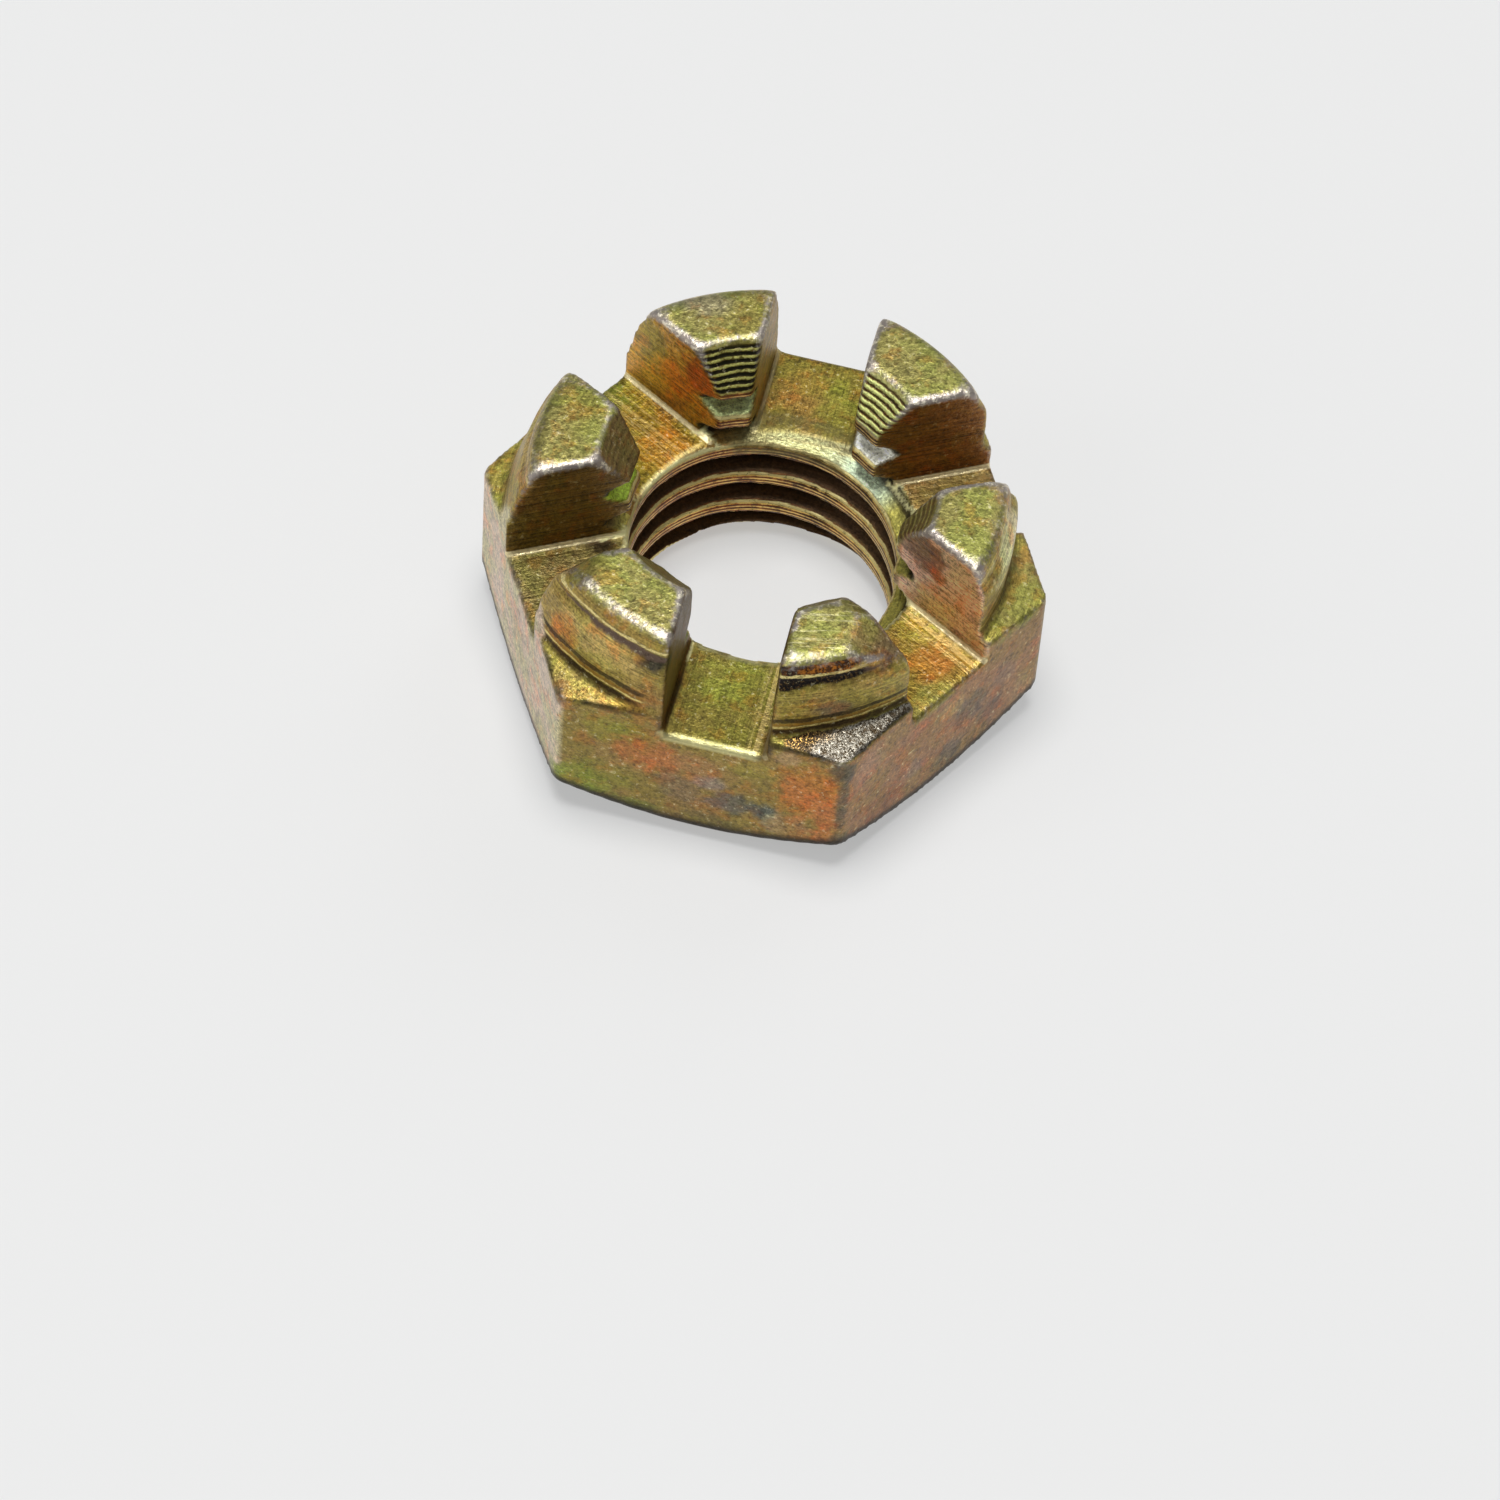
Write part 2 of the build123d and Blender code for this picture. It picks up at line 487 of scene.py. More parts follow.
SURFACE_TONES = {
    "top": (166, 157, 90), "crown": (174, 148, 78), "ledge": (192, 176, 86),
    "bore": (150, 124, 80), "chamfer": (110, 84, 50), "bearing": (140, 126, 80),
    "flat-90": (160, 131, 72), "flat-30": (168, 126, 86), "flat-150": (216, 194, 170),
    "flat30": (156, 134, 84), "flat90": (158, 134, 78), "flat150": (160, 138, 90),
    "floor-90": (139, 125, 56), "floor-30": (152, 124, 53), "floor30": (138, 114, 62),
    "floor90": (157, 135, 62), "floor150": (153, 129, 45), "floor-150": (132, 116, 66),
    "wall-90+": (120, 88, 50), "wall-90-": (120, 92, 50),
    "wall-30+": (255, 206, 176), "wall-30-": (176, 116, 64),
    "wall30+": (148, 97, 42), "wall30-": (128, 96, 54),
    "wall90+": (160, 128, 56), "wall90-": (140, 108, 54),
    "wall150+": (124, 96, 50), "wall150-": (222, 166, 70),
    "wall-150+": (124, 96, 54), "wall-150-": (136, 106, 50),
}

# how deep the cutter's marks are on each kind of surface
CUTTER_MARKS = {
    "top": 0.12, "flat": 0.12, "bearing": 0.3, "floor": 0.45, "wall": 1.0,
    "crown": 0.7, "ledge": 0.5, "chamfer": 0.4, "bore": 0.5,
}

# walls with a painted highlight line along the foot, by slot bearing and side of the slot
FOOT_LINES = {
    (150, -1): 1.0, (-150, -1): 0.9, (-30, 1): 1.0, (30, 1): 0.8, (90, 1): 0.3, (-90, 1): 0.3,
}

# striped side of a slot floor: strength, and where across the slot it fades in
STRIPES = {
    -30: (0.9, 0.2, 1.2), 150: (0.4, 0.9, -0.3), -90: (0.6, 0.9, 1.4), 30: (0.2, -1.0, 1.0),
}
NO_STRIPES = (0.0, 0.0, 1.0)

# slot edges that kept their plating, by slot bearing and side of the slot
EDGE_RUBS = {(-90, 1): 0.25, (-150, 1): 0.5, (90, 1): 0.6, (150, 1): 0.5}

# an aside distance for points that are in no slot
NO_SLOT = 9.0

# each stain: its middle in millimetres, its half widths, its tone and its strength
STAINS = (
    # front flat
    ((-4.7, -9.5, 1.9), (1.2, 1.0, 0.9), (150, 160, 66), 0.95),
    ((-3.6, -9.5, 2.6), (1.3, 1.0, 0.9), (146, 138, 58), 0.7),
    ((-3.4, -9.5, 5.6), (1.3, 1.0, 0.8), (156, 144, 60), 0.85),
    ((-1.9, -9.5, 4.5), (1.3, 1.0, 0.8), (190, 122, 68), 0.9),
    ((-0.1, -9.5, 4.6), (0.9, 1.0, 0.6), (172, 130, 82), 0.7),
    ((-0.8, -9.5, 2.9), (0.9, 1.0, 0.7), (138, 116, 86), 0.7),
    ((1.3, -9.5, 2.7), (0.8, 1.0, 0.6), (110, 104, 98), 0.8),
    ((0.5, -9.5, 3.6), (0.6, 1.0, 0.4), (154, 138, 128), 0.7),
    ((2.5, -9.5, 2.6), (0.5, 1.0, 0.5), (92, 96, 102), 0.85),
    ((3.0, -9.5, 2.0), (0.4, 1.0, 0.6), (176, 168, 144), 0.6),
    ((3.6, -9.5, 1.9), (0.8, 1.0, 0.8), (180, 134, 90), 0.7),
    ((4.3, -9.5, 4.6), (1.3, 1.0, 1.6), (198, 126, 62), 0.95),
    ((4.9, -9.5, 2.6), (0.5, 1.0, 1.2), (194, 122, 70), 0.9),
    ((2.2, -9.5, 5.1), (1.0, 1.0, 0.5), (166, 146, 68), 0.8),
    ((3.3, -9.5, 6.3), (0.5, 1.0, 0.4), (192, 150, 116), 0.8),
    ((0.4, -9.5, 1.4), (1.2, 1.0, 0.4), (128, 112, 66), 0.7),
    ((-2.6, -9.5, 1.2), (1.2, 1.0, 0.4), (130, 128, 62), 0.8),
    # right flat
    ((6.7, -7.4, 2.0), (0.9, 0.9, 0.9), (158, 110, 74), 0.8),
    ((6.2, -8.2, 5.4), (0.7, 0.7, 1.0), (178, 138, 106), 0.8),
    ((7.6, -5.9, 4.6), (0.8, 0.8, 0.7), (170, 120, 82), 0.8),
    ((7.4, -6.1, 2.6), (0.6, 0.6, 0.5), (162, 132, 112), 0.7),
    ((8.4, -4.4, 4.7), (0.7, 0.7, 0.5), (184, 154, 100), 0.8),
    ((8.5, -4.3, 1.8), (0.9, 0.9, 0.6), (120, 106, 88), 0.8),
    ((9.0, -3.3, 3.7), (0.8, 1.1, 0.8), (110, 100, 94), 0.6),
    ((9.6, -2.5, 2.5), (0.5, 0.7, 0.8), (112, 102, 92), 0.6),
    ((9.9, -1.8, 4.2), (0.5, 0.7, 0.7), (152, 120, 94), 0.8),
    ((10.5, -0.8, 2.0), (0.5, 0.6, 0.9), (174, 142, 100), 0.7),
    ((7.9, -5.3, 5.9), (0.8, 1.2, 0.4), (150, 144, 70), 0.8),
    # corner between the front and right flats
    ((5.45, -9.4, 6.1), (0.5, 0.45, 0.7), (98, 92, 80), 0.85),
    ((5.5, -9.45, 4.2), (0.26, 0.26, 1.7), (104, 98, 82), 0.8),
    ((5.5, -9.45, 1.8), (0.4, 0.35, 0.7), (108, 96, 74), 0.75),
    # left flat
    ((-9.4, -2.7, 2.6), (0.7, 1.2, 1.6), (224, 202, 182), 0.7),
    ((-8.3, -4.7, 4.2), (0.7, 1.0, 1.0), (206, 174, 156), 0.6),
    ((-6.4, -8.0, 2.0), (0.6, 1.0, 1.0), (206, 186, 152), 0.7),
    # tops
    ((-4.6, 7.2, 10.6), (1.4, 0.7, 0.5), (178, 168, 132), 0.7),
    ((-2.4, 6.6, 10.6), (1.0, 1.4, 0.5), (154, 142, 68), 0.7),
    ((-7.4, 0.9, 10.6), (0.8, 1.2, 0.5), (156, 142, 70), 0.7),
    ((-5.2, -6.0, 10.5), (0.7, 0.7, 0.5), (156, 140, 70), 0.7),
    ((5.0, -6.1, 10.3), (0.5, 0.7, 0.5), (176, 150, 92), 0.8),
    ((6.0, -6.2, 9.6), (0.5, 0.7, 0.5), (150, 120, 92), 0.8),
    # crown and ledge
    ((-4.2, -8.1, 9.0), (1.9, 1.3, 0.8), (214, 186, 112), 0.75),
    ((-5.7, -7.4, 8.0), (0.7, 0.8, 0.9), (200, 140, 62), 0.8),
    ((4.6, -8.2, 8.2), (0.8, 0.6, 0.4), (140, 120, 96), 0.7),
    ((3.2, -8.8, 8.6), (0.8, 0.6, 0.4), (170, 150, 62), 0.7),
    ((3.4, -8.9, 7.9), (0.8, 0.6, 0.3), (176, 142, 60), 0.7),
    ((-5.0, -8.9, 6.9), (1.5, 1.0, 0.5), (172, 148, 82), 0.9),
    ((-5.5, -9.2, 6.6), (0.35, 0.35, 0.4), (120, 108, 84), 0.8),
    ((9.2, 0.3, 8.9), (0.9, 1.6, 1.5), (240, 228, 182), 0.85),
    ((9.9, 0.3, 6.9), (0.9, 2.6, 0.6), (158, 146, 82), 0.9),
    ((-5.8, -1.6, 5.9), (0.55, 0.35, 0.3), (58, 42, 18), 0.95),
    ((7.3, 0.2, 10.6), (1.4, 1.5, 0.4), (158, 150, 84), 0.6),
    ((-2.0, -8.75, 9.35), (0.6, 0.5, 0.4), (66, 62, 60), 0.9),
    # slot floors
    ((6.6, -1.9, 5.9), (0.9, 0.7, 0.3), (186, 168, 76), 0.8),
    ((8.0, -2.4, 5.9), (1.2, 0.5, 0.3), (190, 158, 84), 0.7),
    ((7.2, -3.6, 5.9), (0.9, 0.7, 0.3), (184, 122, 54), 0.8),
    ((-4.7, 3.4, 5.9), (0.9, 0.9, 0.3), (190, 132, 42), 0.8),
    ((-7.4, 5.2, 5.9), (0.9, 0.9, 0.3), (140, 140, 56), 0.8),
    ((-0.5, 7.6, 5.9), (0.8, 1.1, 0.3), (180, 138, 68), 0.6),
    ((1.2, 7.0, 5.9), (0.7, 1.3, 0.3), (156, 152, 60), 0.7),
    ((0.2, -6.4, 5.9), (1.1, 0.9, 0.3), (150, 146, 62), 0.7),
    # slot walls
    ((-3.9, 4.8, 9.0), (0.8, 0.8, 0.9), (206, 104, 42), 0.9),
    ((-4.9, 5.4, 8.0), (0.8, 0.8, 0.8), (242, 144, 50), 0.8),
    ((-5.6, 5.8, 6.3), (1.2, 0.8, 0.4), (190, 142, 58), 0.8),
    ((-6.2, 6.2, 9.2), (0.9, 0.9, 1.3), (176, 148, 66), 0.9),
    ((6.3, -1.2, 9.2), (1.1, 0.9, 1.0), (136, 90, 46), 0.9),
    ((6.9, -1.5, 8.6), (0.5, 0.5, 0.4), (220, 120, 60), 0.7),
)


def ragged_noise(points):
    """A broad and a fine noise at each point, which fray the stains."""
    rough = []
    for x, y, z in points:
        broad = noise.noise((x * 1.4, y * 1.4, z * 1.4))
        rough.append(broad * 0.6 + noise.noise((x * 4, y * 4, z * 4)) * 0.5)
    return np.array(rough)


def stained_tint(skin):
    """The tone of each point's own surface, with the stains laid over it."""
    face_tone = np.zeros((len(skin.names), 3))
    for name, own in SURFACE_TONES.items():
        face_tone[skin.names == name] = tone(*own)
    tint = np.stack([skin.per_point(face_tone[:, i]) for i in range(3)], 1)
    rough = ragged_noise(skin.places)
    for place, width, colour, strength in STAINS:
        away = np.linalg.norm((skin.places - np.array(place)) / np.array(width), axis=1)
        amount = strength * ramp(1.25 - away + rough * 0.8, 0.0, 0.5)[:, None]
        tint = tint * (1 - amount) + tone(*colour) * amount
    return tint


def wear_grime_and_shade(skin):
    """Bright wear on what stands out; dirt and painted shade darken what lies back."""
    wide = skin.spread(skin.bulge(14), 2)
    wear = ramp(wide, 0.012, 0.085) + 0.6 * ramp(skin.slim, 0.008, 0.04)
    wear *= 0.3 + 0.7 * ramp(skin.height, 9.2, 10.2)
    for (bearing, side), left in EDGE_RUBS.items():
        aside = skin.slots[bearing][1]
        edge = skin.in_slot(bearing) & (aside * side > 0) & (np.abs(aside) < 2.45)
        wear[edge & (skin.height < TOP - 0.02)] *= left
    wear *= 1 - 0.45 * (np.abs(skin.angle + 120) < 26) * ramp(skin.reach, 7.8, 8.2)
    # hollow darkens concave creases and corners: dirt together with painted shade
    hollow = ramp(-wide, 0.02, 0.1) + 0.6 * ramp(-skin.slim, 0.008, 0.04)
    return {"wear": wear, "hollow": hollow}


def turned_inside(skin):
    """The thread, and the turned rings above it inside the teeth."""
    reach, height = skin.reach, skin.height
    tilt = np.abs(skin.normals[:, 2])
    thread = ramp(reach, 6.45, 6.3) * ramp(tilt, 0.98, 0.9)
    thread *= ramp(height, MOUTH_FOOT + 0.05, MOUTH_FOOT - 0.1)
    rings = ramp(reach, 6.6, 6.45) * ramp(height, MOUTH_FOOT - 0.1, MOUTH_FOOT + 0.05)
    rings *= ramp(height, TOP - 0.1, TOP - 0.25)
    # only faces that look towards the axis are turned; slot walls are milled
    towards = -np.sum(skin.places[:, :2] * skin.normals[:, :2], axis=1) / reach
    facing = ramp(towards, 0.45, 0.6)
    thread *= np.maximum(facing, ramp(tilt, 0.45, 0.65) * ramp(towards, 0.1, 0.3))
    rings *= facing * (0.35 + 0.65 * (skin.tooth(120) + skin.tooth(60)) - 0.25 * skin.tooth(180))
    # ring_light marks the back right tooth, whose rings and thread flanks are painted paler
    return {"thread": thread, "rings": rings, "ring_light": skin.tooth(60)}


def slot_marks(skin):
    """Places across the slots, the wall feet that get a painted highlight line, striped floors,
    and the rims of the floors that get a painted highlight.
    """
    aside_of = np.full(skin.count, NO_SLOT)
    foot = np.zeros(skin.count)
    stripes = np.zeros(skin.count)
    for bearing, (_, aside, _) in skin.slots.items():
        mine = skin.in_slot(bearing)
        aside_of[mine] = aside[mine]
        for side in (-1, 1):
            foot[mine & (aside * side > 0)] = FOOT_LINES.get((bearing, side), 0.0)
        strength, start, full = STRIPES.get(bearing, NO_STRIPES)
        across = aside[mine]
        on_floor = np.abs(across) < SLOT_WIDTH / 2
        stripes[mine] = strength * ramp(across, start, full) * on_floor
    floor = skin.kind("floor")
    return {
        "aside": aside_of, "foot": foot, "stripes": stripes * floor,
        # lip: inner rims of the floors, which get a painted highlight
        "lip": 4 * floor * (1 - floor) * ramp(skin.reach, 6.2, 6.0),
    }


def tooth_marks(skin):
    """Marks of the crown, ledge and edges, most of them on the two front teeth; many of them say
    where painted shade, shadow and highlights go.
    """
    reach, height, angle = skin.reach, skin.height, skin.angle
    crown, ledge, top = skin.kind("crown"), skin.kind("ledge"), skin.kind("top")
    right, left = skin.tooth(-60), skin.tooth(-120)
    others = 1 - right - left
    # glint: painted highlight on the sharp floor edges at the bore and on the front slot's outer
    # lip
    glint = ramp(skin.slim, 0.006, 0.03) * ramp(height, 5.6, 5.75) * ramp(height, 6.15, 6.05)
    front_lip = ramp(reach, 9.2, 9.35) * ramp(np.abs(angle + 90), 14, 12)
    glint *= np.maximum(ramp(reach, 5.9, 5.7), front_lip)
    # rim: a dark line along the convex edges of the front teeth below the ledge, and painted
    # shadow just above the bottom chamfer
    rim = (left + right) * ramp(reach, 9.45, 9.7) * ramp(height, 7.15, 6.95)
    rim *= ramp(height, 5.2, 6.0) * ramp(np.abs((angle + 30) % 60 - 30), 2.0, 4.0)
    rim *= 0.7 * ramp(skin.slim, 0.006, 0.025)
    above_chamfer = height - (reach - BEARING_RADIUS) * CHAMFER_SLOPE
    # painted shadow under the chamfer, where the nut meets the floor
    rim = np.maximum(rim, ramp(above_chamfer, 0.56, 0.26) * (reach > 9.2) * 0.93)
    # shoulder: a painted highlight along the rounded top edge of the front teeth, laid with the
    # worn colour
    shoulder = ramp(reach, 8.2, 8.45) * ramp(reach, 8.8, 8.65) * ramp(height, 9.9, 10.3)
    left_fade = 0.42 * ramp(angle, -144, -116)
    return {
        # strengths of the painted shade band in the upper groove, the painted highlight line above
        # it, and the painted lines low on the crown
        "groove_dark": crown * (right * ramp(angle, -46, -56) + left * left_fade + others * 0.15),
        "top_gold": crown * (right * ramp(angle, -50, -58) * 0.9 + left + others * 0.4),
        "low_lines": crown * (right + left + others * 0.4),
        "ember": crown * right * ramp(angle, -50, -57),
        # where the painted shade band of the groove is blacker and wider
        "groove_black": ramp(angle, -67, -74),
        "glitter": ledge * right * ramp(angle, -80, -66) + ledge * left * 0.38 + top * 0.3,
        "scratches": top * right,
        "glint": glint,
        "rim": rim,
        "shoulder": shoulder * (left + 0.6 * right * ramp(angle, -58, -70)),
    }


def mark_points(nut):
    """Stores the tone, wear, dirt, painted shade and highlights, and cutter marks of every point
    as attributes.
    """
    mesh = nut.data
    skin = Skin(mesh)
    lay_uv(mesh, skin)
    cut = skin.per_point(np.array([CUTTER_MARKS[kind] for kind in skin.kinds]))
    marks = {
        "cut": cut, **wear_grime_and_shade(skin), **turned_inside(skin), **slot_marks(skin),
        **tooth_marks(skin),
    }
    tint = np.column_stack([stained_tint(skin), np.ones(skin.count)])
    colours = mesh.attributes.new("tint", "FLOAT_COLOR", "POINT")
    colours.data.foreach_set("color", tint.astype(np.float32).ravel())
    for name, values in marks.items():
        layer = mesh.attributes.new(name, "FLOAT", "POINT")
        layer.data.foreach_set("value", values.astype(np.float32))


# Finishes.

# tones that the plating, and the painted shade and highlights on it, are mixed from
PAINTS = {
    "stripe pale": (236, 208, 132), "stripe brown": (104, 78, 28),
    "ring base": (112, 110, 46), "ring black": (30, 28, 8),
    "ring gold": (214, 212, 120), "ring pale": (240, 246, 156),
    "flank left": (150, 120, 60), "flank right": (206, 210, 152),
    "flank mint": (220, 238, 202), "flank olive": (190, 182, 92), "flank low": (84, 62, 40),
    "tooth flank brown": (120, 104, 60), "tooth flank green": (196, 226, 84),
    "tooth flank pale": (206, 218, 150), "tooth flank bare": (255, 255, 236),
    "copper dark": (104, 66, 34), "copper": (168, 108, 54),
    "copper bright": (176, 104, 46), "copper gold": (150, 112, 52),
    "crest gold": (255, 222, 130), "crest brown": (44, 26, 14), "crest edge": (255, 238, 164),
    "root": (44, 33, 25), "root in teeth": (22, 18, 10),
    "burnt dark": (66, 36, 10), "burnt orange": (188, 116, 36), "burnt black": (28, 22, 24),
    "groove_black": (30, 24, 22), "soot brown": (104, 80, 44), "soot thin": (112, 92, 78),
    "turned gold": (255, 236, 160), "line dark": (40, 28, 10), "line gold": (160, 118, 40),
    "line pale": (255, 236, 150), "line foot": (44, 26, 8),
    "pit": (56, 46, 28), "sparkle": (232, 224, 180),
    "silver dark": (76, 68, 52), "silver": (182, 176, 162), "silver pit": (58, 46, 28),
    "silver dirt": (66, 52, 30), "gold dark": (56, 36, 14), "gold": (250, 200, 112),
    "scratch": (240, 232, 176), "worn grey": (176, 166, 160), "worn white": (250, 242, 222),
    "rim": (40, 34, 25), "dirt": (44, 32, 16), "foot line": (255, 238, 184),
    "edge pale": (255, 250, 184), "edge dull": (176, 170, 122), "rim shade": (120, 110, 66),
}

# mean roughness, metal share, and strength and depth (in metres) of the relief
ROUGHNESS = 0.41
METALLIC = 0.75
BUMP_STRENGTH = 0.6
BUMP_DEPTH = 0.00005

# painted shade and highlights of the turned grooves low on the crown: height, half width, strength
# and tone
LOW_LINES = (
    (7.8, 0.13, 0.8, "line dark"), (7.56, 0.14, 0.7, "line gold"),
    (7.44, 0.07, "ragged", "line pale"), (7.14, 0.26, 0.9, "line foot"),
)

# heights of the burnt edge, the painted shade band in the upper groove and the painted highlight
# line above it
EMBER_HEIGHT = 10.26
GROOVE_HEIGHT = 9.7
GOLD_LINE_HEIGHT = 9.94

# rings inside the teeth and stripes on the floors, in radians and waves a millimetre
RING_WAVES = 29.0
STRIPE_WAVES = 5.5

# middle of the duller stretch of the painted highlight on the floor rims, in radians
BACK_BEARING = 1.62

# the thread's parts, in pitches from the middle of a crest, and the fine lines on a crest
CREST_HALF = 0.22
CREST_EDGE = 0.17
FLANK_START = 0.1
ROOT_START = 0.3
CREST_LINES = 62.0


def arithmetic(operation):
    """A method that does this operation with a node."""
    return lambda wire, other=0.0: wire.paint.calc(operation, wire, other)


class Wire:
    """One output of a shader node, with arithmetic."""

    __add__ = __radd__ = arithmetic("ADD")
    __sub__ = arithmetic("SUBTRACT")
    __mul__ = arithmetic("MULTIPLY")
    __truediv__ = arithmetic("DIVIDE")
    __abs__ = arithmetic("ABSOLUTE")

    def __init__(self, paint, socket):
        self.paint = paint
        self.socket = socket

    def __rsub__(self, other):
        return self.paint.calc("SUBTRACT", other, self)


class Paint:
    """A material under construction."""

    def __init__(self, name):
        self.material = bpy.data.materials.new(name)
        self.material.use_nodes = True
        self.tree = self.material.node_tree
        self.shader = self.tree.nodes["Principled BSDF"]
        self.marks = {}

    def node(self, kind, inputs=(), output=0, **settings):
        """Adds a shader node with its settings and inputs. Returns one of its outputs."""
        made = self.tree.nodes.new("ShaderNode" + kind)
        for key, value in settings.items():
            setattr(made, key, value)
        for key, value in dict(inputs).items():
            self.feed(made.inputs[key], value)
        return Wire(self, made.outputs[output])

    def outputs(self, wire, *keys):
        """Other outputs of the node that a wire comes from."""
        return [Wire(self, wire.socket.node.outputs[key]) for key in keys]

    def feed(self, socket, value):
        if isinstance(value, Wire):
            self.tree.links.new(value.socket, socket)
        else:
            socket.default_value = value

    def calc(self, operation, a, b=0.0):
        return self.node("Math", {0: a, 1: b}, operation=operation)

    def vector(self, operation, a, b):
        return self.node("VectorMath", {0: a, 1: b}, operation=operation)

    def length(self, a, b):
        return self.calc("SQRT", a * a + b * b)

    def mark(self, name):
        """A value stored on the points of the mesh."""
        if name not in self.marks:
            self.marks[name] = self.node("Attribute", output="Fac", attribute_name=name)
        return self.marks[name]

    def noise(self, vector, scale, detail, rough, shift=None):
        if shift:
            vector = self.vector("ADD", vector, shift)
        return self.node("TexNoise", {
            "Vector": vector, "Scale": scale, "Detail": detail, "Roughness": rough})

    def step(self, value, low, high):
        """0 at low, 1 at high, which may be the lower of the two, smooth between."""
        return self.node("MapRange", {"Value": value, "From Min": low, "From Max": high},
                         interpolation_type="SMOOTHSTEP")

    def line(self, value, middle, half):
        """1 at the middle, 0 beyond the half width."""
        return 1.0 - self.step(abs(value - middle), half * 0.55, half)

    def mix(self, factor, a, b, blend="MIX"):
        """Mixes two colours, each a wire, a list of parts or a name from the paints."""
        pair = [rgba(*PAINTS[part]) if isinstance(part, str) else part for part in (a, b)]
        return self.node("Mix", {0: factor, 6: pair[0], 7: pair[1]}, output=2,
                         data_type="RGBA", blend_type=blend)

    def times(self, colour, shares):
        """A colour times one amount, or times one for each of its parts."""
        return self.mix(1.0, colour, shares, "MULTIPLY")


def rgba(*colour):
    """A tone as the shader takes it."""
    return (*tone(*colour).tolist(), 1.0)


def stray(noise_wire, amount):
    """A noise centred on zero, times an amount."""
    return (noise_wire - 0.5) * amount


class Chromate(Paint):
    """Yellow passivated zinc, stained and worn, with painted shade and highlights, from the marks
    on the points.
    """

    def __init__(self):
        super().__init__("yellow_chromate")
        metres = self.node("TexCoord", output="Object")
        here = self.vector("MULTIPLY", metres, (1 / MM, 1 / MM, 1 / MM))
        parts = self.node("SeparateXYZ", {0: here})
        self.x, self.y, self.z = self.outputs(parts, 0, 1, 2)
        self.bearing = self.calc("ARCTAN2", self.y, self.x)
        self.colour = self.node("Attribute", attribute_name="tint")

        self.cloud = self.noise(here, 0.55, 4.0, 0.6)
        self.drift = self.noise(here, 1.1, 4.0, 0.65, (31, 7, 13))
        self.blotch = self.noise(here, 2.6, 3.0, 0.6, (5, 41, 9))
        self.speck = self.noise(here, 6.0, 2.0, 0.6)
        self.flake = self.noise(here, 4.5, 3.0, 0.7, (3, 57, 23))
        self.dust = self.noise(here, 11.0, 2.0, 0.6, (17, 3, 29))
        self.glimmer = self.noise(here, 15.0, 2.0, 0.7, (8, 3, 5))
        grain = self.node("UVMap", uv_map="grain")
        streak = self.noise(self.vector("MULTIPLY", grain, (0.2, 6.5, 1.0)), 1.0, 4.0, 0.7)
        self.fine = self.noise(self.vector("MULTIPLY", grain, (0.45, 20.0, 1.0)), 1.0, 2.0, 0.6)

        cut = self.mark("cut")
        self.lines = (streak - 0.5) * cut
        self.shade = 1.0 + self.lines * 2.4 + stray(self.fine, 1.8) * cut
        self.shade += stray(self.flake, 1.5) + stray(self.dust, 1.5)
        self.ragged = self.step(self.speck + stray(self.fine, 0.8), 0.34, 0.56)
        self.broken_up = 0.25 + self.ragged * 0.75

        self.patches()
        self.slot_stripes()
        ripple = self.turned_rings()
        self.thread()
        self.crown_burn_and_groove_light()
        self.pits_and_sparkle()
        self.wear()
        self.bright_lines()
        self.connect(ripple)

    def connect(self, ripple):
        """Feeds the shader with the colour, the roughness and the relief."""
        relief = self.lines * 1.6 + stray(self.fine, 0.7) * self.mark("cut")
        relief = relief + stray(self.speck, 0.8) + stray(self.flake, 0.8)
        bump = self.node("Bump", {
            "Strength": BUMP_STRENGTH, "Distance": BUMP_DEPTH,
            "Height": relief + self.mark("rings") * ripple * 0.5})
        rough = ROUGHNESS + stray(self.cloud, 0.2) + stray(self.flake, 0.4)
        sockets = self.shader.inputs
        self.feed(sockets["Base Color"], self.colour)
        self.feed(sockets["Roughness"], rough)
        self.feed(sockets["Normal"], bump)
        sockets["Metallic"].default_value = METALLIC

    def lay(self, factor, colour):
        """Lays a colour over what is there."""
        self.colour = self.mix(factor, self.colour, colour)

    def patches(self):
        """Green, reddish and dark patches of the passivation, and the cutter's shading."""
        for factor, shares in (
            (self.step(self.cloud, 0.42, 0.58) * 0.8, (0.9, 1.06, 0.8, 1)),
            (self.step(self.drift, 0.5, 0.64) * 0.85, (1.2, 0.86, 0.72, 1)),
            (self.step(self.blotch, 0.5, 0.66) * 0.75, (0.6, 0.58, 0.58, 1)),
        ):
            self.lay(factor, self.times(self.colour, shares))
        self.colour = self.times(self.colour, self.shade)

    def slot_stripes(self):
        """Stripes that the cutter left along the slot floors."""
        stripes = self.mark("stripes")
        comb = self.node("CombineXYZ", {
            0: self.mark("aside") * STRIPE_WAVES, 1: self.speck * 0.4})
        stripe = self.noise(comb, 1.0, 3.0, 0.7, (2, 6, 4))
        self.lay(stripes * self.step(stripe, 0.5, 0.6) * 0.75, "stripe pale")
        self.lay(stripes * self.step(stripe, 0.44, 0.36) * 0.6, "stripe brown")

    def turned_rings(self):
        """Rings that the lathe left inside the teeth, drawn as painted shade in their troughs and
        broken painted highlights on their ridges, darker on the back left tooth and paler on the
        back right one. Returns their ripple.
        """
        rings, light = self.mark("rings"), self.mark("ring_light")
        ripple = self.calc("SINE", self.z * RING_WAVES + stray(self.drift, 5.0))
        ripple = ripple + (light - 0.5) * 0.9
        self.lay(rings * (1.0 - light) * 0.6, "ring base")
        # painted shade in the troughs of the rings
        self.lay(rings * self.step(ripple, 0.0, -0.7), "ring black")
